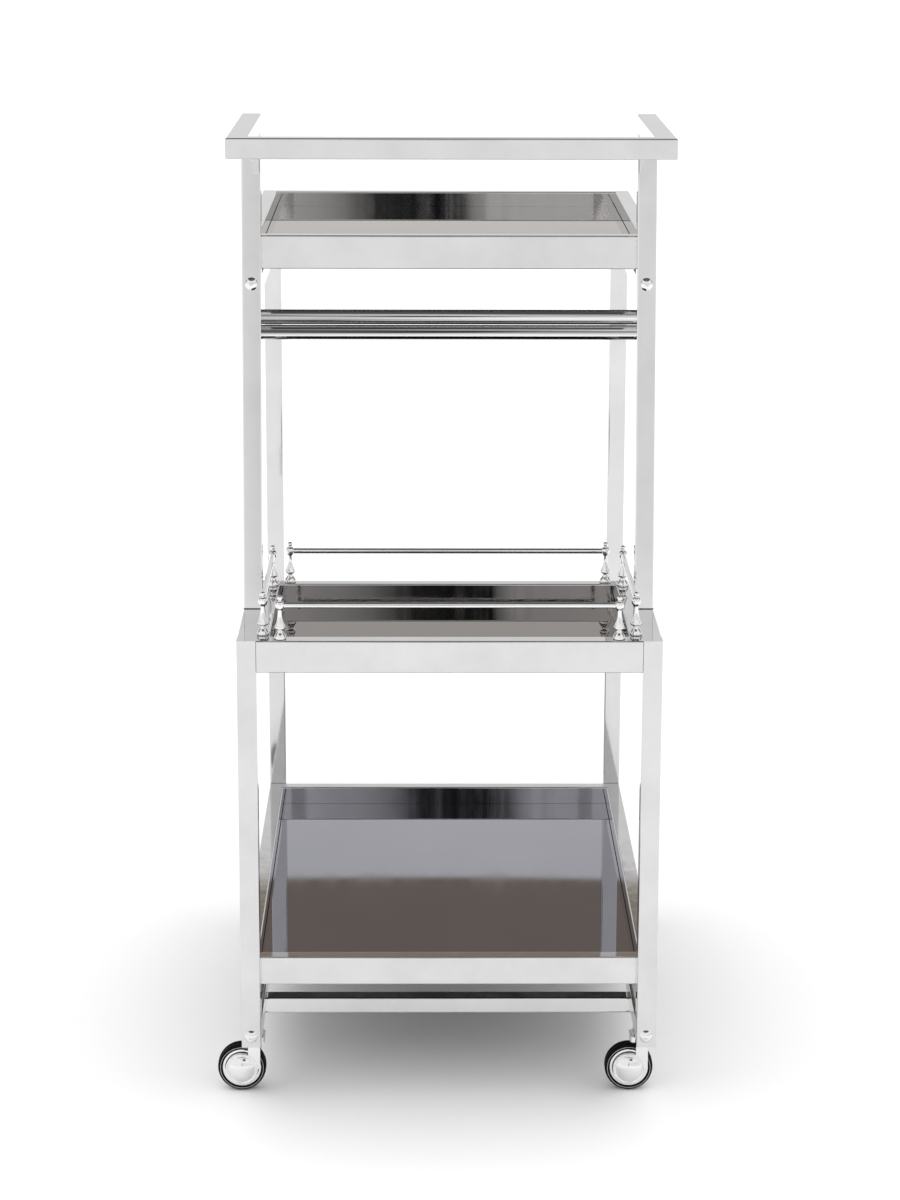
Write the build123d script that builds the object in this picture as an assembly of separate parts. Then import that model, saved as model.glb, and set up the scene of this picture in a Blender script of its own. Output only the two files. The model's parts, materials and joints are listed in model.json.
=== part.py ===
from build123d import *
import math
import os

# Bar cart on wheels, in millimetres. +X is to the right, +Y is away from the handle end, +Z is up.
# The origin is on the floor, under the middle of the cart's outer box.

# Overall frame
WIDTH = 430.0
TUBE = 20.0
WALL = 1.5
EDGE = 1.6
TINY = 0.01
FRONT = -298.5
BACK = 355.15
HALF = WIDTH / 2
INNER = HALF - TUBE
LEG_FOOT = 70.0
LEG_CENTRE = HALF - TUBE / 2
PLUG_TALL = 1.9

# Trays: height of each rim's top, and how the floor sits below it
RIM = 17.0
BOTTOM_RIM_TALL = 30.0
TOP_RIM_TALL = 35.0
GLASS_DROP = 21.0
TOP_GLASS_DROP = 17.0
GLASS_THICK = 5.0
GLASS_GAP = 0.5
PAN_THICK = 2.0
BOTTOM_TOP = 162.0
MIDDLE_TOP = 506.0
TOP_TOP = 890.0

# Middle shelf
MIDDLE_TALL = 33.0
MIDDLE_SIDE = 33.0
MIDDLE_BACK = FRONT + 265.0

# Upper posts, given by the front face's place at the foot and at the top
POST_FOOT = FRONT + 136.0
POST_HEAD = FRONT + 200.0
HANDLE_TOP = 1014.0
HANDLE_FRONT = FRONT - 60.0
POST_TOP = HANDLE_TOP - TUBE
LEAN = math.atan((POST_HEAD - POST_FOOT) / (POST_TOP - MIDDLE_TOP))
POST_DEPTH = TUBE / math.cos(LEAN)
TOP_TRAY_FRONT = FRONT + 200.0
BACK_LEG_TOP = TOP_TOP - 3.0

# Rails and bars between the legs
BASE_LOW = 72.0
CROSS_TALL = 17.0
CROSS_LIFT = 1.5
CROSS_INSET = 89.0
UPPER_LOW = 830.0
SOLID_END = 16.0
ROD_R = 7.7
ROD_HIGH = 807.0
ROD_PITCH = 15.8

# Screws
SCREW_LOW_Z = BASE_LOW + TUBE / 2
SCREW_HIGH_Z = UPPER_LOW + TUBE / 2
POST_SCREW_Z = SCREW_HIGH_Z + 2.0
SHANK_R = 3.0
SHANK_LENGTH = 32.0
SCREW_HEAD_R = 6.75
SCREW_HEAD_TALL = 3.6
SOCKET_R = 2.3
SOCKET_DEEP = 2.0
HOLE_PLAY = 0.05
HOLE_OVERRUN = 1.0

# Gallery on the middle shelf
BALUSTER_TALL = 45.0
RAIL_HEIGHT = 35.0
RAIL_R = 2.9
RAIL_SETBACK = 2.0
RAIL_PLAY = 0.05
FOOT_R = 6.5
WAIST_R = 2.6
BELL_R = 5.6
COLUMN_R = 2.3
NECK_R = 1.6
BALL_R = 4.8
FINIAL_R = 3.0
GALLERY_END_X = 171.0
GALLERY_SIDE_X = 189.0
GALLERY_FRONT_Y = FRONT + 10.0
GALLERY_BACK_Y = MIDDLE_BACK - 8.5
GALLERY_SIDE_FRONT_Y = FRONT + 27.0
GALLERY_SIDE_BACK_Y = MIDDLE_BACK - 25.0

# Casters
WHEEL_R = 25.5
TYRE_THICK = 5.0
WHEEL_WIDE = 17.0
TRAIL = 13.5
STEM_Y = 62.0
STEM_R = 4.0
FORK_GAP = 1.2
FORK_PLATE = 2.4
FORK_END_R = 17.2
BRIDGE_LOW = 55.4
BRIDGE_HIGH = 61.0
NECK_LEFT = -6.5
NECK_RIGHT = 6.2
BRIDGE_BACK = -13.0
BRIDGE_FRONT = 11.0
BRIDGE_CORNER = 4.0
COLLAR_R = 9.5
COLLAR_CHAMFER = 1.5
COLLAR_PLAY = 0.3
STEM_IN_RAIL = 14.0
PIN_LOW = 53.0
PIN_HIGH = 63.0
PIN_HEAD_R = 6.0
PIN_HEAD_TALL = 2.1
AXLE_R = 3.0
BOSS_R = 7.0
BOSS_PROUD = 0.6
WEB_HALF = 4.0
WEB_OUT = 15.5
SHOULDER_R = 17.0
HUB_INSET = 0.2
CAP_R = 13.6
CAP_TALL = 5.2
RUN_PLAY = 0.06


def block(low, high):
    """A box between two corners."""
    size = [high[i] - low[i] for i in range(3)]
    middle = [(high[i] + low[i]) / 2 for i in range(3)]
    return Pos(*middle) * Box(*size)


def prism(points, direction, amount):
    """A flat outline of 3-D points, drawn out along a direction."""
    outline = Wire.make_polygon([Vector(*p) for p in points], close=True)
    return extrude(Face(outline), amount=amount, dir=direction)


def cylinder(centre, radius, length, direction):
    """A cylinder centred on a point, along a direction."""
    return Plane(origin=centre, z_dir=direction) * Cylinder(radius, length)


def soften(solid, axis, radius=EDGE):
    """Rounds the edges that run along one axis."""
    return fillet(solid.edges().filter_by(axis), radius)


def tube(low, high, axis, low_end=0.0, high_end=0.0):
    """A square tube between two corners, each end open, or closed over a given length."""
    along = {Axis.X: 0, Axis.Y: 1, Axis.Z: 2}[axis]
    hollow_low = [v + WALL for v in low]
    hollow_high = [v - WALL for v in high]
    hollow_low[along] = low[along] + low_end
    hollow_high[along] = high[along] - high_end
    return soften(block(low, high), axis) - block(hollow_low, hollow_high)


def mitred(corners, low, high, axis, hollow):
    """A rim rail with mitred ends, drawn up from low to high, and hollow along its length."""
    solid = prism([(x, y, low) for x, y in corners], (0, 0, 1), high - low)
    return soften(solid, axis) - hollow


def tray_rails(front, back, top, tall):
    """The four mitred rails of a tray's rim."""
    low = top - tall
    rails = {}
    for name, outer, inner in (("front", front, front + RIM), ("back", back, back - RIM)):
        corners = [(-HALF, outer), (HALF, outer), (HALF - RIM, inner), (RIM - HALF, inner)]
        y_low, y_high = min(outer, inner), max(outer, inner)
        hollow = block((-HALF, y_low + WALL, low + WALL), (HALF, y_high - WALL, top - WALL))
        rails[name] = mitred(corners, low, top, Axis.X, hollow)
    for name, side in (("left", -1), ("right", 1)):
        outer, inner = side * HALF, side * (HALF - RIM)
        corners = [(outer, front), (outer, back), (inner, back - RIM), (inner, front + RIM)]
        x_low, x_high = min(outer, inner), max(outer, inner)
        hollow = block((x_low + WALL, front, low + WALL), (x_high - WALL, back, top - WALL))
        rails[name] = mitred(corners, low, top, Axis.Y, hollow)
    return rails


def tray_floor(half_x, front, back, top, drop=GLASS_DROP):
    """The pan and the glass that lie inside a rim."""
    glass_top = top - drop
    glass_low = glass_top - GLASS_THICK
    pan = block((-half_x, front, glass_low - PAN_THICK), (half_x, back, glass_low))
    glass_x = half_x - GLASS_GAP
    glass = block((-glass_x, front + GLASS_GAP, glass_low), (glass_x, back - GLASS_GAP, glass_top))
    return pan, glass


def post_outline(x, inset):
    """A post's side outline in the plane at x, drawn in from its faces by an inset."""
    near = inset / math.cos(LEAN)
    far = POST_DEPTH - near
    return [
        (x, POST_FOOT + near, MIDDLE_TOP),
        (x, POST_FOOT + far, MIDDLE_TOP),
        (x, POST_HEAD + far, POST_TOP),
        (x, POST_HEAD + near, POST_TOP),
    ]


def post_plain(side):
    """The space that a post fills, used to cope the rails that meet it."""
    x_low = INNER if side > 0 else -HALF
    return prism(post_outline(x_low, 0.0), (1, 0, 0), TUBE)


def post(side):
    """An upper post: a square tube that leans back."""
    x_low = INNER if side > 0 else -HALF
    run = math.dist((POST_FOOT, MIDDLE_TOP), (POST_HEAD, POST_TOP))
    outer = post_plain(side)
    outer = fillet([e for e in outer.edges() if math.isclose(e.length, run, abs_tol=TINY)], EDGE)
    return outer - prism(post_outline(x_low + WALL, WALL), (1, 0, 0), TUBE - 2 * WALL)


def post_face(z):
    """The front face of a post at a given height."""
    return POST_FOOT + (z - MIDDLE_TOP) * math.tan(LEAN)


def screw(seat, inward):
    """A domed socket-head screw, its head against a seat point and its shank running inward."""
    plane = Plane(origin=seat, z_dir=inward)
    rise = SCREW_HEAD_TALL
    dome_r = (SCREW_HEAD_R**2 + rise**2) / (2 * rise)
    ball = Pos(0, 0, dome_r - rise) * Sphere(dome_r)
    head = ball & (Pos(0, 0, -rise) * Cylinder(2 * SCREW_HEAD_R, 2 * rise))
    socket = Pos(0, 0, -rise) * extrude(RegularPolygon(SOCKET_R, 6), amount=SOCKET_DEEP)
    shank = Pos(0, 0, SHANK_LENGTH / 2) * Cylinder(SHANK_R, SHANK_LENGTH)
    return plane * (head - socket + shank)


def screw_hole(seat, inward):
    """The clearance hole for a screw."""
    plane = Plane(origin=seat, z_dir=inward)
    drill = Cylinder(SHANK_R + HOLE_PLAY, SHANK_LENGTH + 2 * HOLE_OVERRUN)
    return plane * (Pos(0, 0, SHANK_LENGTH / 2) * drill)


def baluster():
    """A turned baluster: bell foot, ring, tapered column, rail ball and finial."""
    neck_top = BALUSTER_TALL - 2 * FINIAL_R + 1
    line = [
        (0, 0), (FOOT_R, 0), (FOOT_R, 1.6), (BELL_R, 2.4), (BELL_R - 0.2, 4.2), (WAIST_R + 0.4, 8.0),
        (WAIST_R, 9.6), (BELL_R - 1.6, 10.4), (BELL_R, 12.0), (BELL_R, 13.4), (BELL_R - 1.4, 14.6),
        (WAIST_R + 1.0, 18.0), (WAIST_R, 23.0), (COLUMN_R, 29.0), (COLUMN_R, RAIL_HEIGHT),
        (NECK_R, RAIL_HEIGHT + NECK_R), (NECK_R, neck_top), (0, neck_top),
    ]
    body = revolve(Face(Wire.make_polygon([Vector(r, 0, z) for r, z in line], close=True)), Axis.Z)
    body = body + Pos(0, 0, RAIL_HEIGHT) * Sphere(BALL_R)
    return body + Pos(0, 0, BALUSTER_TALL - FINIAL_R) * Sphere(FINIAL_R)


def fork():
    """A caster fork, with its stem's axis on Z and its axle set back along -X."""
    inner = WHEEL_WIDE / 2 + FORK_GAP
    outer = inner + FORK_PLATE
    bridge = block((BRIDGE_BACK, -outer, BRIDGE_LOW), (BRIDGE_FRONT, outer, BRIDGE_HIGH))
    body = soften(bridge, Axis.Z, BRIDGE_CORNER)
    for side in (-1, 1):
        y_low = min(side * inner, side * outer)
        neck = block((NECK_LEFT, y_low, WHEEL_R), (NECK_RIGHT, y_low + FORK_PLATE, BRIDGE_HIGH - 1))
        end = cylinder((-TRAIL, side * (inner + outer) / 2, WHEEL_R), FORK_END_R, FORK_PLATE, (0, 1, 0))
        body = body + neck + end
    body = body - cylinder((0, 0, BRIDGE_LOW), STEM_R + RUN_PLAY, WHEEL_R, (0, 0, 1))
    return body - cylinder((-TRAIL, 0, WHEEL_R), AXLE_R + HOLE_PLAY, 4 * outer, (0, 1, 0))


def upright(low, high, radius):
    """A cylinder on the stem's axis between two heights."""
    return cylinder((0, 0, (low + high) / 2), radius, high - low, (0, 0, 1))


def stem():
    """A caster stem: a top in the rail, a collar, and a pin with a head that carries the fork."""
    top = upright(BASE_LOW, BASE_LOW + STEM_IN_RAIL, STEM_R)
    collar = upright(BRIDGE_HIGH + COLLAR_PLAY, BASE_LOW, COLLAR_R)
    collar = chamfer(collar.edges().sort_by(Axis.Z)[0], COLLAR_CHAMFER)
    pin = upright(PIN_LOW, PIN_HIGH, STEM_R)
    head = upright(PIN_LOW, PIN_LOW + PIN_HEAD_TALL, PIN_HEAD_R)
    return top + collar + pin + head


def axle():
    """The wheel axle, with a domed cap outside each fork plate."""
    reach = WHEEL_WIDE / 2 + FORK_GAP + FORK_PLATE
    body = cylinder((-TRAIL, 0, WHEEL_R), AXLE_R, 2 * reach, (0, 1, 0))
    dome_r = (CAP_R**2 + CAP_TALL**2) / (2 * CAP_TALL)
    for side in (-1, 1):
        ball = Pos(-TRAIL, side * (reach + CAP_TALL - dome_r), WHEEL_R) * Sphere(dome_r)
        slab = cylinder((-TRAIL, side * (reach + CAP_TALL), WHEEL_R), 2 * CAP_R, 2 * CAP_TALL, (0, 1, 0))
        body = body + (ball & slab)
    return body


def wheel_turned(line):
    """A solid turned about the wheel's axis from a list of radius and offset points."""
    outline = Wire.make_polygon([Vector(-TRAIL + r, y, WHEEL_R) for r, y in line], close=True)
    return revolve(Face(outline), Axis((-TRAIL, 0, WHEEL_R), (0, 1, 0)))


def hub():
    """The wheel's hub: a bored boss, a thin web and a rim that carries the tyre."""
    bore = AXLE_R + RUN_PLAY
    rim_out = WHEEL_R - TYRE_THICK
    half = WHEEL_WIDE / 2
    right = [
        (bore, half + BOSS_PROUD), (BOSS_R, half + BOSS_PROUD),
        (BOSS_R + 1.0, WEB_HALF), (WEB_OUT, WEB_HALF),
        (SHOULDER_R, half - 4 * HUB_INSET), (SHOULDER_R + 1.0, half - HUB_INSET),
        (rim_out, half - HUB_INSET),
    ]
    left = [(r, -y) for r, y in reversed(right)]
    return wheel_turned(right + left)


def tyre():
    """The rubber tyre, with a stepped shoulder on each side."""
    rim_out = WHEEL_R - TYRE_THICK
    half = WHEEL_WIDE / 2
    right = [
        (rim_out, half - 0.4), (rim_out + 1.7, half),
        (rim_out + 2.1, half - 0.7), (rim_out + 2.6, half - 0.3),
        (WHEEL_R - 1.0, half - 1.0), (WHEEL_R - 0.2, half - 2.6), (WHEEL_R, half - 4.6),
    ]
    left = [(r, -y) for r, y in reversed(right)]
    return wheel_turned(right + left)


nodes = {}

# Screws and their holes
lower_seats = []
upper_seats = []
lean_in = (0, math.cos(LEAN), -math.sin(LEAN))
for x in (-LEG_CENTRE, LEG_CENTRE):
    lower_seats.append(((x, FRONT, SCREW_LOW_Z), (0, 1, 0)))
    lower_seats.append(((x, BACK, SCREW_LOW_Z), (0, -1, 0)))
    upper_seats.append(((x, post_face(POST_SCREW_Z), POST_SCREW_Z), lean_in))
    upper_seats.append(((x, BACK, SCREW_HIGH_Z), (0, -1, 0)))
holes = Compound([screw_hole(*seat).solid() for seat in lower_seats + upper_seats])

# Legs, posts and the rails between them
for name, side in (("left", -1), ("right", 1)):
    x_low, x_high = (INNER, HALF) if side > 0 else (-HALF, -INNER)
    front_leg = tube((x_low, FRONT, LEG_FOOT), (x_high, FRONT + TUBE, MIDDLE_TOP), Axis.Z, 0.0, WALL)
    back_leg = tube((x_low, BACK - TUBE, LEG_FOOT), (x_high, BACK, BACK_LEG_TOP), Axis.Z, 0.0, WALL)
    nodes["leg_front_" + name] = front_leg - holes
    nodes["leg_back_" + name] = back_leg - holes
    nodes["post_" + name] = post(side) - holes
    base_low = (x_low, FRONT + TUBE, BASE_LOW)
    base_high = (x_high, BACK - TUBE, BASE_LOW + TUBE)
    base = tube(base_low, base_high, Axis.Y, SOLID_END, SOLID_END)
    for stem_y in (FRONT + STEM_Y, BACK - STEM_Y):
        foot = (side * LEG_CENTRE, stem_y, BASE_LOW)
        base = base - cylinder(foot, STEM_R + HOLE_PLAY, TUBE / 2, (0, 0, 1))
    nodes["base_rail_" + name] = base - holes
    rail_start = post_face(UPPER_LOW) + POST_DEPTH / 2
    upper_low = (x_low, rail_start, UPPER_LOW)
    upper_high = (x_high, BACK - TUBE, UPPER_LOW + TUBE)
    upper = tube(upper_low, upper_high, Axis.Y, POST_DEPTH / 2 + SOLID_END, SOLID_END)
    nodes["upper_rail_" + name] = upper - post_plain(side) - holes

# Leg foot plugs
plugs = []
plug_half = TUBE / 2 - WALL
for x in (-LEG_CENTRE, LEG_CENTRE):
    for y in (FRONT + TUBE / 2, BACK - TUBE / 2):
        low = (x - plug_half, y - plug_half, LEG_FOOT)
        high = (x + plug_half, y + plug_half, LEG_FOOT + PLUG_TALL)
        plugs.append(block(low, high))
nodes["leg_plugs"] = Compound([p.solid() for p in plugs])

# Cross bars between the base rails
for name, y_low in (("front", FRONT + CROSS_INSET), ("back", BACK - CROSS_INSET - TUBE)):
    low = (-INNER, y_low, BASE_LOW + CROSS_LIFT)
    high = (INNER, y_low + TUBE, BASE_LOW + CROSS_LIFT + CROSS_TALL)
    nodes["base_cross_bar_" + name] = tube(low, high, Axis.X)

# Trays
for tray, front, top, tall, drop in (
    ("bottom", FRONT + TUBE, BOTTOM_TOP, BOTTOM_RIM_TALL, GLASS_DROP),
    ("top", TOP_TRAY_FRONT, TOP_TOP, TOP_RIM_TALL, TOP_GLASS_DROP),
):
    back = BACK - TUBE
    for name, rail in tray_rails(front, back, top, tall).items():
        if tray == "top" and name != "back":
            rail = rail - post_plain(-1) - post_plain(1)
        nodes[tray + "_tray_rim_" + name] = rail
    pan, glass = tray_floor(HALF - RIM, front + RIM, back - RIM, top, drop)
    nodes[tray + "_tray_pan"] = pan
    nodes[tray + "_tray_glass"] = glass

# Middle shelf
middle_low = MIDDLE_TOP - MIDDLE_TALL
side_in = HALF - MIDDLE_SIDE
for name, x_low, x_high in (("left", -HALF, -side_in), ("right", side_in, HALF)):
    low = (x_low, FRONT + TUBE, middle_low)
    nodes["middle_tray_rim_" + name] = tube(low, (x_high, MIDDLE_BACK, MIDDLE_TOP), Axis.Y, WALL, WALL)
nodes["middle_tray_rim_front"] = tube(
    (-INNER, FRONT, middle_low), (INNER, FRONT + TUBE, MIDDLE_TOP), Axis.X
)
nodes["middle_tray_rim_back"] = tube(
    (-side_in, MIDDLE_BACK - RIM, middle_low), (side_in, MIDDLE_BACK, MIDDLE_TOP), Axis.X
)
pan, glass = tray_floor(side_in, FRONT + TUBE, MIDDLE_BACK - RIM, MIDDLE_TOP)
nodes["middle_tray_pan"] = pan
nodes["middle_tray_glass"] = glass

# Handle: a U of square tube, mitred at the front corners
arm_end = POST_HEAD + POST_DEPTH
handle_low = HANDLE_TOP - TUBE
bar_corners = [
    (-HALF, HANDLE_FRONT), (HALF, HANDLE_FRONT),
    (INNER, HANDLE_FRONT + TUBE), (-INNER, HANDLE_FRONT + TUBE),
]
bar_hollow = block(
    (-HALF, HANDLE_FRONT + WALL, handle_low + WALL), (HALF, HANDLE_FRONT + TUBE - WALL, HANDLE_TOP - WALL)
)
nodes["handle_bar"] = mitred(bar_corners, handle_low, HANDLE_TOP, Axis.X, bar_hollow)
for name, side in (("left", -1), ("right", 1)):
    corners = [
        (side * HALF, HANDLE_FRONT), (side * HALF, arm_end), (side * INNER, arm_end),
        (side * INNER, HANDLE_FRONT + TUBE),
    ]
    x_low = INNER if side > 0 else -HALF
    low = (x_low + WALL, HANDLE_FRONT, handle_low + WALL)
    hollow = block(low, (x_low + TUBE - WALL, arm_end - WALL, HANDLE_TOP - WALL))
    nodes["handle_arm_" + name] = mitred(corners, handle_low, HANDLE_TOP, Axis.Y, hollow)

# Rods between the posts
for name, z in (("upper", ROD_HIGH), ("lower", ROD_HIGH - ROD_PITCH)):
    y = post_face(z) + POST_DEPTH / 2
    rod = cylinder((0, y, z), ROD_R, 2 * INNER, (1, 0, 0))
    nodes["rod_" + name] = rod - cylinder((0, y, z), ROD_R - WALL, 2 * INNER, (1, 0, 0))

# Gallery
rail_z = MIDDLE_TOP + RAIL_HEIGHT
gallery = {
    "front": ((-GALLERY_END_X, GALLERY_FRONT_Y), (GALLERY_END_X, GALLERY_FRONT_Y)),
    "back": ((-GALLERY_END_X, GALLERY_BACK_Y), (GALLERY_END_X, GALLERY_BACK_Y)),
    "left": ((-GALLERY_SIDE_X, GALLERY_SIDE_FRONT_Y), (-GALLERY_SIDE_X, GALLERY_SIDE_BACK_Y)),
    "right": ((GALLERY_SIDE_X, GALLERY_SIDE_FRONT_Y), (GALLERY_SIDE_X, GALLERY_SIDE_BACK_Y)),
}
balusters = []
for name, (start, end) in gallery.items():
    run = math.dist(start, end)
    towards = ((end[0] - start[0]) / run, (end[1] - start[1]) / run, 0)
    middle = ((start[0] + end[0]) / 2, (start[1] + end[1]) / 2, rail_z)
    nodes["gallery_rail_" + name] = cylinder(middle, RAIL_R, run - 2 * RAIL_SETBACK, towards)
    socket = cylinder(middle, RAIL_R + RAIL_PLAY / 2, run - 2 * RAIL_SETBACK + RAIL_PLAY, towards)
    for x, y in (start, end):
        balusters.append(Pos(x, y, MIDDLE_TOP) * baluster() - socket)
nodes["gallery_balusters"] = Compound([b.solid() for b in balusters])

# Frame screws
nodes["frame_screws_lower"] = Compound([screw(*seat).solid() for seat in lower_seats])
nodes["frame_screws_upper"] = Compound([screw(*seat).solid() for seat in upper_seats])

# Casters: the front pair trails to -X and the back pair to +X
stems = []
for end, stem_y, turn in (("front", FRONT + STEM_Y, 0), ("back", BACK - STEM_Y, 180)):
    for name, x in (("left", -LEG_CENTRE), ("right", LEG_CENTRE)):
        place = Pos(x, stem_y, 0) * Rot(0, 0, turn)
        stems.append(place * stem())
        nodes["caster_fork_" + end + "_" + name] = place * fork()
        nodes["caster_axle_" + end + "_" + name] = place * axle()
        nodes["wheel_hub_" + end + "_" + name] = place * hub()
        nodes["wheel_tyre_" + end + "_" + name] = place * tyre()
nodes["caster_stems"] = Compound([s.solid() for s in stems])

for name, shape in nodes.items():
    export_step(shape, "parts/" + name + ".step")
print(len(nodes), "nodes")
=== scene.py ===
import json
import math

import bmesh
import bpy
from mathutils import Matrix, Vector


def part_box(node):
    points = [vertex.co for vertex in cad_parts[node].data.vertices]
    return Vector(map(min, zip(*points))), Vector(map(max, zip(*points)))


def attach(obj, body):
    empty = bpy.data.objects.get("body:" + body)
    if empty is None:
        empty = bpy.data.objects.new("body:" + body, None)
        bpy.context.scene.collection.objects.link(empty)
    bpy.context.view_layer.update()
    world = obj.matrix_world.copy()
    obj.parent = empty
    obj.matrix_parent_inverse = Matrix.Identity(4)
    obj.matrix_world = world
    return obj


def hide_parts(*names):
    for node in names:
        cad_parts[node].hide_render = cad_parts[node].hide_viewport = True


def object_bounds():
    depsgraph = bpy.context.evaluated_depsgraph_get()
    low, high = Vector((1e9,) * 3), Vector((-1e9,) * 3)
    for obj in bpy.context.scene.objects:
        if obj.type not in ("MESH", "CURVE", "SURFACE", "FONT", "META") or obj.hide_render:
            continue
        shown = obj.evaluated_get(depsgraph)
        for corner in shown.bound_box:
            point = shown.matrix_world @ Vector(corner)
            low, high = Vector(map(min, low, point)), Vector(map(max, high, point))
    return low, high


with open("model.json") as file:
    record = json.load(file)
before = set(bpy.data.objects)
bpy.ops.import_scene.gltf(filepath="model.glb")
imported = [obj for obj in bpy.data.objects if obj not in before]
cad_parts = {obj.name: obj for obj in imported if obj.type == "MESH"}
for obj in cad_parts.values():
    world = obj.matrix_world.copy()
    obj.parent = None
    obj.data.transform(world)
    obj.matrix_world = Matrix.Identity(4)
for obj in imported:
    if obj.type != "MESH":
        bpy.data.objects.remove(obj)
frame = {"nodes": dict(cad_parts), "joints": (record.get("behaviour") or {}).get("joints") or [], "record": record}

cad_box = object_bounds()
MM = 0.001

# Camera, at the photograph's viewing angle
FRONT_FACE_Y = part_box("leg_front_left")[0].y
CAMERA_OFFSET = Vector((-0.0272, -3.0092, 1.2836))
CAMERA_PITCH = math.radians(13.72)
CAMERA_YAW = math.radians(0.52)
CAMERA_ROLL = math.radians(0.15)
FOCAL_PX = 3089.0
IMAGE_LONG_PX = 1200.0
SENSOR = 36.0


def make_camera():
    data = bpy.data.cameras.new("camera")
    data.lens = FOCAL_PX / IMAGE_LONG_PX * SENSOR
    data.sensor_width = SENSOR
    data.clip_end = 200.0
    camera = bpy.data.objects.new("camera", data)
    bpy.context.scene.collection.objects.link(camera)
    camera.location = CAMERA_OFFSET + Vector((0, FRONT_FACE_Y, 0))
    turn = Matrix.Rotation(-CAMERA_YAW, 4, "Z") @ Matrix.Rotation(math.pi / 2 - CAMERA_PITCH, 4, "X")
    camera.rotation_euler = (turn @ Matrix.Rotation(CAMERA_ROLL, 4, "Z")).to_euler()
    bpy.context.scene.camera = camera


# Materials

class Nodes:
    """A small helper that adds nodes to a material's or a world's tree and links them."""

    def __init__(self, owner):
        owner.use_nodes = True
        self.owner = owner
        self.tree = owner.node_tree
        self.shader = self.tree.nodes.get("Principled BSDF")

    def add(self, kind, **settings):
        node = self.tree.nodes.new(kind)
        for key, value in settings.items():
            setattr(node, key, value)
        return node

    def link(self, source, target):
        self.tree.links.new(source, target)

    def place(self, scale=(1, 1, 1)):
        coordinates = self.add("ShaderNodeTexCoord")
        mapping = self.add("ShaderNodeMapping")
        mapping.inputs["Scale"].default_value = scale
        self.link(coordinates.outputs["Object"], mapping.inputs["Vector"])
        return mapping.outputs["Vector"]

    def noise(self, vector, scale, detail=3.0, rough=0.5):
        node = self.add("ShaderNodeTexNoise")
        node.inputs["Scale"].default_value = scale
        node.inputs["Detail"].default_value = detail
        node.inputs["Roughness"].default_value = rough
        self.link(vector, node.inputs["Vector"])
        return node.outputs["Fac"]

    def ramp(self, value, low, high, start=0.3, end=0.7):
        node = self.add("ShaderNodeValToRGB")
        node.color_ramp.elements[0].position = start
        node.color_ramp.elements[1].position = end
        node.color_ramp.elements[0].color = (*low, 1)
        node.color_ramp.elements[1].color = (*high, 1)
        self.link(value, node.inputs["Fac"])
        return node.outputs["Color"]

    def span(self, value, low, high, start=0.3, end=0.7):
        node = self.add("ShaderNodeMapRange")
        node.inputs["From Min"].default_value = start
        node.inputs["From Max"].default_value = end
        node.inputs["To Min"].default_value = low
        node.inputs["To Max"].default_value = high
        self.link(value, node.inputs["Value"])
        return node.outputs["Result"]

    def bump(self, height, distance, strength=1.0, normal=None):
        node = self.add("ShaderNodeBump")
        node.inputs["Strength"].default_value = strength
        node.inputs["Distance"].default_value = distance
        self.link(height, node.inputs["Height"])
        if normal is not None:
            self.link(normal, node.inputs["Normal"])
        return node.outputs["Normal"]


GRAIN_SCALE = (40, 40, 900)


def polished(name, low, high, rough_low, rough_high, wave=0.00006, grain=0.0000025):
    """Mirror-polished steel: slow polishing waves, a faint buffing grain and patches of haze."""
    n = Nodes(bpy.data.materials.new(name))
    plain = n.place()
    n.shader.inputs["Metallic"].default_value = 1.0
    haze = n.noise(plain, 16.0, 5.0, 0.62)
    n.link(n.ramp(haze, low, high), n.shader.inputs["Base Color"])
    smear = n.noise(n.place((60, 60, 7)), 1.0, 4.0, 0.6)
    n.link(n.span(smear, rough_low, rough_high), n.shader.inputs["Roughness"])
    waves = n.bump(n.noise(plain, 9.0, 2.0, 0.4), wave)
    buff = n.bump(n.noise(n.place(GRAIN_SCALE), 1.0, 2.0, 0.5), grain, 1.0, waves)
    n.link(buff, n.shader.inputs["Normal"])
    return n.owner


def rod_with_painted_streaks(name):
    """Drawn and polished rod: fine dark and bright lines along X, partly drawing grain and mostly painted dark
    reflection streaks, with patches of haze in the roughness.
    """
    n = Nodes(bpy.data.materials.new(name))
    n.shader.inputs["Metallic"].default_value = 1.0
    lines = n.noise(n.place((1.2, 230, 230)), 1.0, 3.0, 0.55)
    # The darkest lines, down to 0.10, are painted reflection streaks; only their faint part is drawing grain.
    n.link(n.ramp(lines, (0.10, 0.10, 0.102), (0.74, 0.74, 0.745), 0.40, 0.60),
           n.shader.inputs["Base Color"])
    n.link(n.span(n.noise(n.place(), 18.0, 4.0), 0.03, 0.09), n.shader.inputs["Roughness"])
    n.link(n.bump(lines, 0.00002), n.shader.inputs["Normal"])
    return n.owner


def painted_foot_shade(name):
    """A thin dark band at the foot of a post: painted shade in the crease where the post stands on the frame."""
    n = Nodes(bpy.data.materials.new(name))
    plain = n.place()
    n.shader.inputs["Metallic"].default_value = 0.6
    n.link(n.ramp(n.noise(plain, 300.0, 4.0), (0.05, 0.05, 0.05), (0.22, 0.215, 0.21)),
           n.shader.inputs["Base Color"])
    n.link(n.span(n.noise(plain, 150.0, 3.0), 0.35, 0.6), n.shader.inputs["Roughness"])
    n.link(n.bump(n.noise(plain, 2000.0, 3.0), 0.00005), n.shader.inputs["Normal"])
    return n.owner


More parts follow.
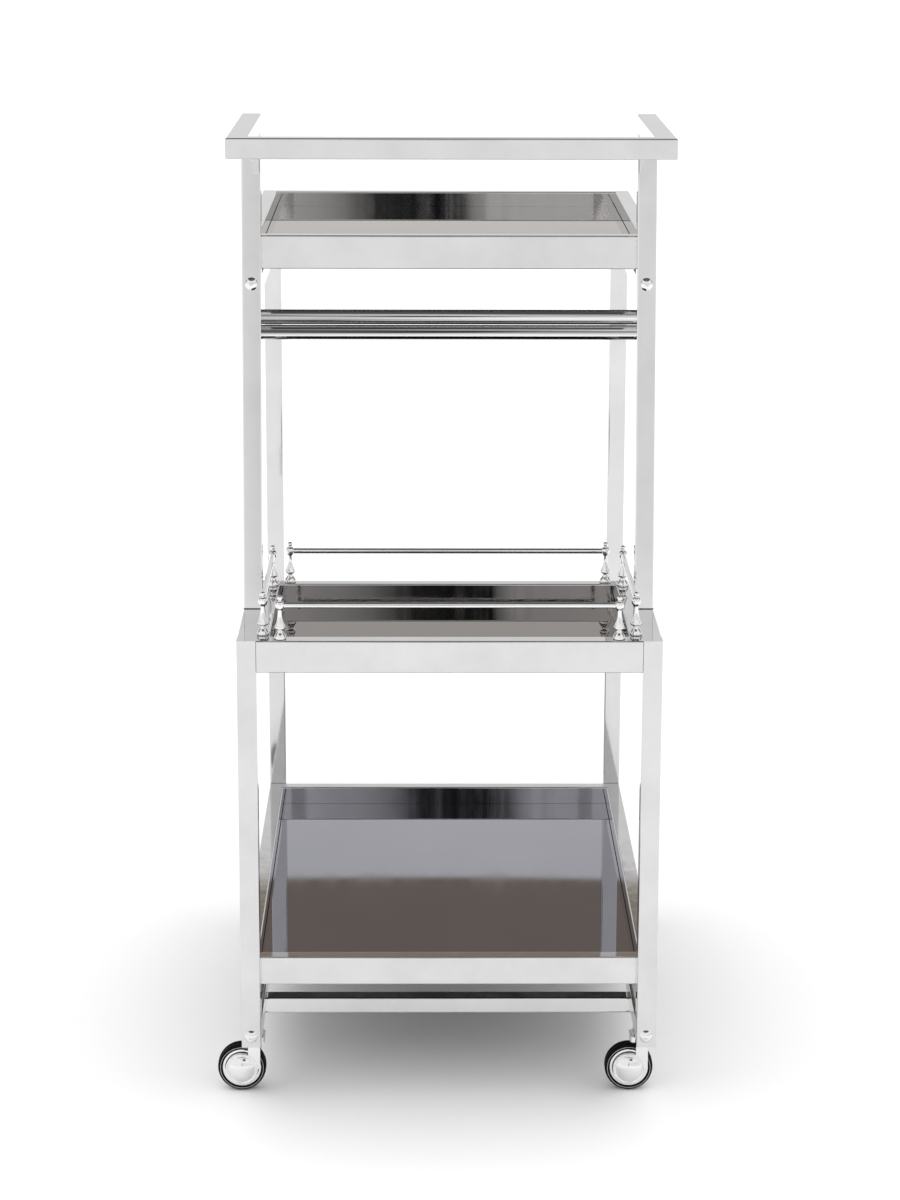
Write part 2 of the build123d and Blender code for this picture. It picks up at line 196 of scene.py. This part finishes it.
def smoked_mirror(name, low, high):
    """Tinted mirror glass: a cloudy bronze-grey silvering with slow waves and faint wipe marks."""
    n = Nodes(bpy.data.materials.new(name))
    plain = n.place()
    n.shader.inputs["Metallic"].default_value = 1.0
    cloud = n.noise(plain, 5.0, 4.0, 0.55)
    n.link(n.ramp(cloud, low, high), n.shader.inputs["Base Color"])
    wipe = n.noise(n.place((14, 3, 1)), 2.0, 5.0, 0.65)
    n.link(n.span(wipe, 0.008, 0.03), n.shader.inputs["Roughness"])
    n.link(n.bump(n.noise(plain, 3.0, 1.0, 0.3), 0.00003), n.shader.inputs["Normal"])
    return n.owner


def dark_backing(name):
    """The backing board under each glass floor, coloured near black."""
    n = Nodes(bpy.data.materials.new(name))
    plain = n.place()
    n.link(n.ramp(n.noise(plain, 60.0, 5.0, 0.6), (0.003, 0.003, 0.0032), (0.009, 0.0088, 0.0085)),
           n.shader.inputs["Base Color"])
    n.link(n.span(n.noise(plain, 30.0, 4.0), 0.34, 0.55), n.shader.inputs["Roughness"])
    n.shader.inputs["Specular IOR Level"].default_value = 0.25
    n.link(n.bump(n.noise(plain, 900.0, 2.0), 0.00005), n.shader.inputs["Normal"])
    return n.owner


def rubber(name, low, high):
    n = Nodes(bpy.data.materials.new(name))
    plain = n.place()
    n.link(n.ramp(n.noise(plain, 220.0, 5.0, 0.65), low, high), n.shader.inputs["Base Color"])
    n.link(n.span(n.noise(plain, 90.0, 4.0), 0.55, 0.75), n.shader.inputs["Roughness"])
    n.shader.inputs["Specular IOR Level"].default_value = 0.07
    n.link(n.bump(n.noise(plain, 2600.0, 3.0), 0.00006), n.shader.inputs["Normal"])
    return n.owner


def plastic(name):
    n = Nodes(bpy.data.materials.new(name))
    plain = n.place()
    n.link(n.ramp(n.noise(plain, 140.0, 4.0, 0.6), (0.02, 0.02, 0.021), (0.045, 0.044, 0.043)),
           n.shader.inputs["Base Color"])
    n.link(n.span(n.noise(plain, 70.0, 3.0), 0.42, 0.6), n.shader.inputs["Roughness"])
    n.link(n.bump(n.noise(plain, 1800.0, 3.0), 0.00005), n.shader.inputs["Normal"])
    return n.owner


STEEL = polished("polished_steel", (0.60, 0.60, 0.603), (0.67, 0.67, 0.67), 0.02, 0.075)
# The posts take a lighter copy of the polished steel: painted light for the brighter reflections they catch, not a
# different steel.
POST_STEEL_PAINTED_LIGHT = polished("post_steel", (0.71, 0.71, 0.713), (0.78, 0.78, 0.78), 0.02, 0.075)
# The handle and the top tray's front rim take a darker copy of the polished steel: painted shade for the duller
# reflections they show, not a different steel.
HANDLE_STEEL_PAINTED_SHADE = polished("handle_steel", (0.535, 0.535, 0.538), (0.60, 0.60, 0.60), 0.02, 0.08)
BRIGHT = polished("turned_chrome", (0.76, 0.76, 0.77), (0.84, 0.84, 0.84), 0.03, 0.09, 0.00001, 0.000001)
CASTER = polished("caster_chrome", (0.78, 0.78, 0.785), (0.86, 0.86, 0.86), 0.10, 0.20, 0.00002, 0.000002)
# The same smoked mirror glass in three tones, one per tray: the middle tray's darker copy is painted shade and the
# bottom tray's paler, bluer copy painted light.
TRAY_GLASS_TONES = {
    "top_tray_glass": smoked_mirror("smoked_mirror_top", (0.22, 0.17, 0.13), (0.26, 0.21, 0.165)),
    "middle_tray_glass": smoked_mirror("smoked_mirror_middle", (0.13, 0.108, 0.09), (0.155, 0.13, 0.11)),
    "bottom_tray_glass": smoked_mirror("smoked_mirror_bottom", (0.30, 0.30, 0.345), (0.33, 0.325, 0.375)),
}
BACKING = dark_backing("backing_board")
RUBBER = rubber("tyre_rubber", (0.002, 0.002, 0.002), (0.008, 0.008, 0.008))
# A pale grey ring on each tyre wall: a painted highlight along the tyre's rounded shoulder.
TYRE_PAINTED_HIGHLIGHT = rubber("tyre_line", (0.30, 0.30, 0.31), (0.44, 0.44, 0.44))
PLUG = plastic("foot_plastic")

ROD_PAINTED_STREAKS = rod_with_painted_streaks("drawn_rod")
FOOT_SHADE = painted_foot_shade("weld_line")
OWN_MATERIALS = {
    **TRAY_GLASS_TONES,
    "rod_upper": ROD_PAINTED_STREAKS,
    "rod_lower": ROD_PAINTED_STREAKS,
    "post_left": POST_STEEL_PAINTED_LIGHT,
    "post_right": POST_STEEL_PAINTED_LIGHT,
    "handle_bar": HANDLE_STEEL_PAINTED_SHADE,
    "handle_arm_left": HANDLE_STEEL_PAINTED_SHADE,
    "handle_arm_right": HANDLE_STEEL_PAINTED_SHADE,
    # The front rim takes the darker steel as painted shade.
    "top_tray_rim_front": HANDLE_STEEL_PAINTED_SHADE,
}
SLOT_MATERIALS = {
    "polished_steel": STEEL,
    "gallery_chrome": BRIGHT,
    "caster_chrome": CASTER,
    "screw_steel": BRIGHT,
    "pan_black": BACKING,
    "tyre_rubber": RUBBER,
    "foot_plug": PLUG,
}


def dress(piece, material):
    piece.data.materials.clear()
    piece.data.materials.append(material)


for row in frame["record"]["subparts"]:
    slot = row["material_slot"]
    dress(frame["nodes"][row["node"]], OWN_MATERIALS.get(row["node"]) or SLOT_MATERIALS[slot])


# Turned and moulded pieces that take the place of plain CAD solids

def chaikin(points, rounds=2):
    """Cuts the corners of an outline, so that its stretches turn smoothly."""
    for _ in range(rounds):
        cut = [points[0]]
        for a, b in zip(points, points[1:]):
            cut.append((a[0] * 0.75 + b[0] * 0.25, a[1] * 0.75 + b[1] * 0.25))
            cut.append((a[0] * 0.25 + b[0] * 0.75, a[1] * 0.25 + b[1] * 0.75))
        points = cut + [points[-1]]
    return points


def lathe(name, outline, place, material, segments=64, closed=False):
    """A turned piece: an outline of (radius, height) in millimetres, turned about Z, then put in place."""
    verts, faces, rings = [], [], []
    for radius, height in outline:
        if radius < 1e-6:
            rings.append([len(verts)])
            verts.append(place @ Vector((0, 0, height * MM)))
            continue
        rings.append(list(range(len(verts), len(verts) + segments)))
        for k in range(segments):
            a = 2 * math.pi * k / segments
            verts.append(place @ Vector((radius * MM * math.cos(a), radius * MM * math.sin(a), height * MM)))
    pairs = list(zip(rings, rings[1:]))
    if closed:
        pairs.append((rings[-1], rings[0]))
    for lower, upper in pairs:
        for k in range(segments):
            j = (k + 1) % segments
            if len(lower) == 1 and len(upper) == 1:
                continue
            if len(lower) == 1:
                faces.append((lower[0], upper[j], upper[k]))
            elif len(upper) == 1:
                faces.append((lower[k], lower[j], upper[0]))
            else:
                faces.append((lower[k], lower[j], upper[j], upper[k]))
    mesh = bpy.data.meshes.new(name)
    mesh.from_pydata([tuple(v) for v in verts], [], faces)
    fix = bmesh.new()
    fix.from_mesh(mesh)
    bmesh.ops.recalc_face_normals(fix, faces=fix.faces)
    fix.to_mesh(mesh)
    fix.free()
    mesh.shade_smooth()
    mesh.set_sharp_from_angle(angle=math.radians(38))
    piece = bpy.data.objects.new(name, mesh)
    bpy.context.scene.collection.objects.link(piece)
    dress(piece, material)
    return piece


BALUSTER = [
    (0, 0), (6.0, 0), (6.5, 0.5), (6.5, 2.2), (6.1, 3.4), (4.8, 5.4), (3.3, 7.4), (2.7, 9.2), (3.0, 9.9),
    (5.0, 10.6), (5.7, 11.6), (5.6, 12.9), (4.7, 14.6), (3.6, 17.6), (2.7, 22.0), (2.2, 27.0), (2.2, 30.2),
    (3.2, 30.9), (4.2, 32.2), (4.8, 34.0), (4.8, 36.0), (4.2, 37.8), (3.1, 39.0), (1.7, 39.6), (1.7, 40.2),
    (2.7, 41.0), (3.0, 42.2), (2.6, 43.8), (1.4, 44.9), (0, 45.0),
]
RAIL_TO_CENTRE = 2 * MM


def make_balusters():
    """The turned balusters, one at each end of each gallery rail."""
    outline = chaikin(BALUSTER)
    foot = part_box("gallery_balusters")[0].z
    for side in ("front", "back", "left", "right"):
        low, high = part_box("gallery_rail_" + side)
        middle = (low + high) / 2
        if side in ("front", "back"):
            spots = [(low.x - RAIL_TO_CENTRE, middle.y), (high.x + RAIL_TO_CENTRE, middle.y)]
        else:
            spots = [(middle.x, low.y - RAIL_TO_CENTRE), (middle.x, high.y + RAIL_TO_CENTRE)]
        for number, (x, y) in enumerate(spots, 1):
            place = Matrix.Translation((x, y, foot))
            piece = lathe("baluster_%s_%d" % (side, number), outline, place, BRIGHT, 56)
            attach(piece, "root")
    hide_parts("gallery_balusters")


HUB = [
    (3.06, 9.1), (6.6, 9.1), (7.2, 8.6), (7.6, 5.2), (9.0, 4.4), (13.0, 4.1), (15.2, 4.6), (16.4, 7.2),
    (17.2, 8.0), (19.6, 8.2), (20.45, 7.7),
]
TYRE = [
    (20.5, 7.9), (21.2, 8.5), (21.9, 8.5), (22.3, 7.9), (22.7, 7.9), (23.1, 8.35), (24.2, 7.9), (25.1, 6.6),
    (25.5, 4.4), (25.5, 1.2), (25.2, 0.6),
]
# Outline of the pale ring on each tyre wall, a painted highlight.
TYRE_HIGHLIGHT_RING = [(22.4, 7.6), (22.4, 8.49), (22.95, 8.49), (22.95, 7.6)]
CAP = [
    (0, 17.3), (3.5, 17.15), (7.0, 16.4), (10.0, 15.1), (12.0, 13.8), (12.6, 13.3), (12.9, 13.3),
    (13.5, 12.9), (13.8, 12.35), (15.0, 12.3), (15.6, 12.9), (16.5, 12.9), (17.1, 12.5), (17.15, 12.1),
]
AXLE_R = 3.0
AXLE_HALF = 12.1


def both_sides(outline):
    """An outline and its mirror image across the middle of the wheel, as one closed line."""
    smooth = chaikin(outline)
    return smooth + [(r, -h) for r, h in reversed(smooth)]


def make_wheels():
    """Hub, tyre and capped axle of each caster, turned about the caster's own roll axis."""
    for joint in frame["joints"]:
        if not joint["name"].startswith("roll_"):
            continue
        tag = joint["name"][len("roll_"):]
        place = Matrix.Translation(joint["pos_m"]) @ Matrix.Rotation(math.pi / 2, 4, "X")
        hub = lathe("hub_" + tag, both_sides(HUB), place, CASTER, 72, True)
        tyre = lathe("tyre_" + tag, both_sides(TYRE), place, RUBBER, 96, True)
        for number, side in enumerate((-1, 1), 1):
            highlight = lathe("tyre_line_%s_%d" % (tag, number), [(r, side * h) for r, h in TYRE_HIGHLIGHT_RING], place,
                         TYRE_PAINTED_HIGHLIGHT, 96, True)
            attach(highlight, "wheel_" + tag)
        ends = chaikin(CAP) + [(AXLE_R, AXLE_HALF)]
        axle = lathe("axle_" + tag, ends + [(r, -h) for r, h in reversed(ends)], place, CASTER, 64)
        for piece, node, body, slot in (
            (hub, "wheel_hub_", "wheel_", "caster_chrome"),
            (tyre, "wheel_tyre_", "wheel_", "tyre_rubber"),
            (axle, "caster_axle_", "caster_", "caster_chrome"),
        ):
            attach(piece, body + tag)
            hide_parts(node + tag)


POST_LEAN = 64.0 / 488.0
SHADE_BAND_TALL = 0.9 * MM
SHADE_BAND_PROUD = 0.06 * MM


def make_post_foot_shade():
    """A thin dark band round the foot of each post: painted shade in the crease where it stands on the frame."""
    for side in ("left", "right"):
        low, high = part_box("post_" + side)
        depth = (high.x - low.x) / math.cos(math.atan(POST_LEAN))
        left, right = low.x - SHADE_BAND_PROUD, high.x + SHADE_BAND_PROUD
        near, far = low.y - SHADE_BAND_PROUD, low.y + depth + SHADE_BAND_PROUD
        corners = [
            (x, y + z * POST_LEAN, low.z + z)
            for z in (0.0, SHADE_BAND_TALL)
            for x, y in ((left, near), (right, near), (right, far), (left, far))
        ]
        walls = [(0, 1, 5, 4), (1, 2, 6, 5), (2, 3, 7, 6), (3, 0, 4, 7)]
        mesh = bpy.data.meshes.new("post_seam_" + side)
        mesh.from_pydata(corners, [], walls + [(3, 2, 1, 0), (4, 5, 6, 7)])
        piece = bpy.data.objects.new("post_seam_" + side, mesh)
        bpy.context.scene.collection.objects.link(piece)
        dress(piece, FOOT_SHADE)
        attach(piece, "root")


make_balusters()
make_wheels()
make_post_foot_shade()


# Stage and light
# The studio's parts, by the sines of their directions: up, and to the side
BACKDROP_COLOUR = (0.80, 0.80, 0.80)
BACKDROP_TOP, BACKDROP_EDGE = 0.324, 0.002
ROOM_COLOUR = (0.27, 0.225, 0.185)
ROOM_TOP = 0.66
CEILING_UP, CEILING_SOFT = 0.84, 0.10
CEILING_COLOUR = (0.10, 0.10, 0.105)
FIGURE_LEAN = -0.08
FIGURE_SPAN = 0.08
FIGURE_STOPS = (
    (0.0, 0.0), (0.10, 0.06), (0.27, 0.45), (0.34, 0.98), (0.53, 1.0), (0.555, 0.12), (1.0, 0.12),
)
FIGURE_UP, FIGURE_TALL = 0.20, 0.16
FIGURE_COLOUR = (0.010, 0.010, 0.011)
DIM_HALF, DIM_SOFT = 0.045, 0.035
DIM_UP, DIM_TALL = 0.22, 0.14
DIM_COLOUR = (0.86, 0.86, 0.87)
FLOOR_GAIN = 1.34
FRONT_SOFT = 0.04
WHITE = (1.0, 1.0, 1.0)
FLOOR_HALF = 40.0
FLOOR_GAP = 0.2 * MM


def make_floor():
    """A plain pale floor, just under the wheels."""
    half = FLOOR_HALF
    corners = [(-half, -half, 0), (half, -half, 0), (half, half, 0), (-half, half, 0)]
    mesh = bpy.data.meshes.new("floor")
    mesh.from_pydata(corners, [], [(0, 1, 2, 3)])
    floor = bpy.data.objects.new("floor", mesh)
    bpy.context.scene.collection.objects.link(floor)
    floor.location.z = cad_box[0].z - FLOOR_GAP
    n = Nodes(bpy.data.materials.new("floor_paint"))
    n.link(n.ramp(n.noise(n.place(), 0.6, 3.0), (0.93, 0.93, 0.93), (0.96, 0.96, 0.96)),
           n.shader.inputs["Base Color"])
    n.shader.inputs["Roughness"].default_value = 0.9
    n.shader.inputs["Specular IOR Level"].default_value = 0.0
    dress(floor, n.owner)


def soft_band(n, value, centre, half, soft):
    """1 where a value is within a half width of a centre, falling to 0 over a soft edge."""
    away = n.add("ShaderNodeMath", operation="SUBTRACT")
    n.link(value, away.inputs[0])
    away.inputs[1].default_value = centre
    size = n.add("ShaderNodeMath", operation="ABSOLUTE")
    n.link(away.outputs["Value"], size.inputs[0])
    fade = n.add("ShaderNodeMapRange", interpolation_type="SMOOTHSTEP")
    n.link(size.outputs["Value"], fade.inputs["Value"])
    fade.inputs["From Min"].default_value = half
    fade.inputs["From Max"].default_value = half + soft
    fade.inputs["To Min"].default_value = 1.0
    fade.inputs["To Max"].default_value = 0.0
    return fade.outputs["Result"]


def product(n, first, second):
    both = n.add("ShaderNodeMath", operation="MULTIPLY")
    n.link(first, both.inputs[0])
    n.link(second, both.inputs[1])
    return both.outputs["Value"]


def compare(n, value, operation):
    """1 where a value is on one side of 0, as GREATER_THAN or LESS_THAN says."""
    test = n.add("ShaderNodeMath", operation=operation)
    n.link(value, test.inputs[0])
    test.inputs[1].default_value = 0.0
    return test.outputs["Value"]


def blend(n, factor, under, over):
    """Lays a colour over another by a factor; either may be a socket or a fixed colour."""
    mix = n.add("ShaderNodeMix", data_type="RGBA")
    n.link(factor, mix.inputs["Factor"])
    for socket, colour in (("A", under), ("B", over)):
        target = next(i for i in mix.inputs if i.name == socket and i.type == "RGBA")
        if isinstance(colour, tuple):
            target.default_value = (*colour, 1)
        else:
            n.link(colour, target)
    return next(o for o in mix.outputs if o.type == "RGBA")


def make_world():
    """A white studio. Polished metal also shows its darker parts: the room over the backdrop's top
    edge, and the photographer and the dim room around them in front."""
    world = bpy.data.worlds.new("studio")
    bpy.context.scene.world = world
    n = Nodes(world)
    background = n.tree.nodes["Background"]
    coordinates = n.add("ShaderNodeTexCoord")
    split = n.add("ShaderNodeSeparateXYZ")
    n.link(coordinates.outputs["Generated"], split.inputs["Vector"])
    side, ahead, up = (split.outputs[k] for k in "XYZ")

    behind = compare(n, ahead, "GREATER_THAN")
    front = compare(n, ahead, "LESS_THAN")

    room_middle = (BACKDROP_TOP + ROOM_TOP) / 2
    room_half = (ROOM_TOP - BACKDROP_TOP) / 2
    room = product(n, behind, soft_band(n, up, room_middle, room_half, BACKDROP_EDGE))
    backdrop = product(n, behind, soft_band(n, up, 0.0, BACKDROP_TOP, BACKDROP_EDGE))
    ceiling = soft_band(n, up, 1.0, 1.0 - CEILING_UP, CEILING_SOFT)

    lean = n.add("ShaderNodeMath", operation="MULTIPLY_ADD")
    n.link(up, lean.inputs[0])
    lean.inputs[1].default_value = FIGURE_LEAN
    n.link(side, lean.inputs[2])
    across = n.add("ShaderNodeMapRange")
    n.link(lean.outputs["Value"], across.inputs["Value"])
    across.inputs["From Min"].default_value = -FIGURE_SPAN
    across.inputs["From Max"].default_value = FIGURE_SPAN
    shade = n.add("ShaderNodeValToRGB")
    stops = shade.color_ramp.elements
    for number, (place, amount) in enumerate(FIGURE_STOPS):
        stop = stops[number] if number < 2 else stops.new(place)
        stop.position = place
        stop.color = (amount, amount, amount, 1)
    n.link(across.outputs["Result"], shade.inputs["Fac"])
    tall = product(n, front, soft_band(n, up, FIGURE_UP, FIGURE_TALL, FRONT_SOFT))
    figure = product(n, shade.outputs["Color"], tall)
    dim = product(n, product(n, front, soft_band(n, side, 0.0, DIM_HALF, DIM_SOFT)),
                  soft_band(n, up, DIM_UP, DIM_TALL, FRONT_SOFT))
    colour = blend(n, backdrop, WHITE, BACKDROP_COLOUR)
    colour = blend(n, room, colour, ROOM_COLOUR)
    colour = blend(n, ceiling, colour, CEILING_COLOUR)
    colour = blend(n, dim, colour, DIM_COLOUR)
    colour = blend(n, figure, colour, FIGURE_COLOUR)

    path = n.add("ShaderNodeLightPath")
    seen = blend(n, path.outputs["Is Glossy Ray"], WHITE, colour)
    n.link(seen, background.inputs["Color"])
    strength = n.add("ShaderNodeMapRange")
    n.link(path.outputs["Is Diffuse Ray"], strength.inputs["Value"])
    strength.inputs["To Min"].default_value = 1.0
    strength.inputs["To Max"].default_value = FLOOR_GAIN
    n.link(strength.outputs["Result"], background.inputs["Strength"])


make_camera()
make_floor()
make_world()
scene = bpy.context.scene
scene.view_settings.view_transform = "Standard"
scene.view_settings.look = "None"
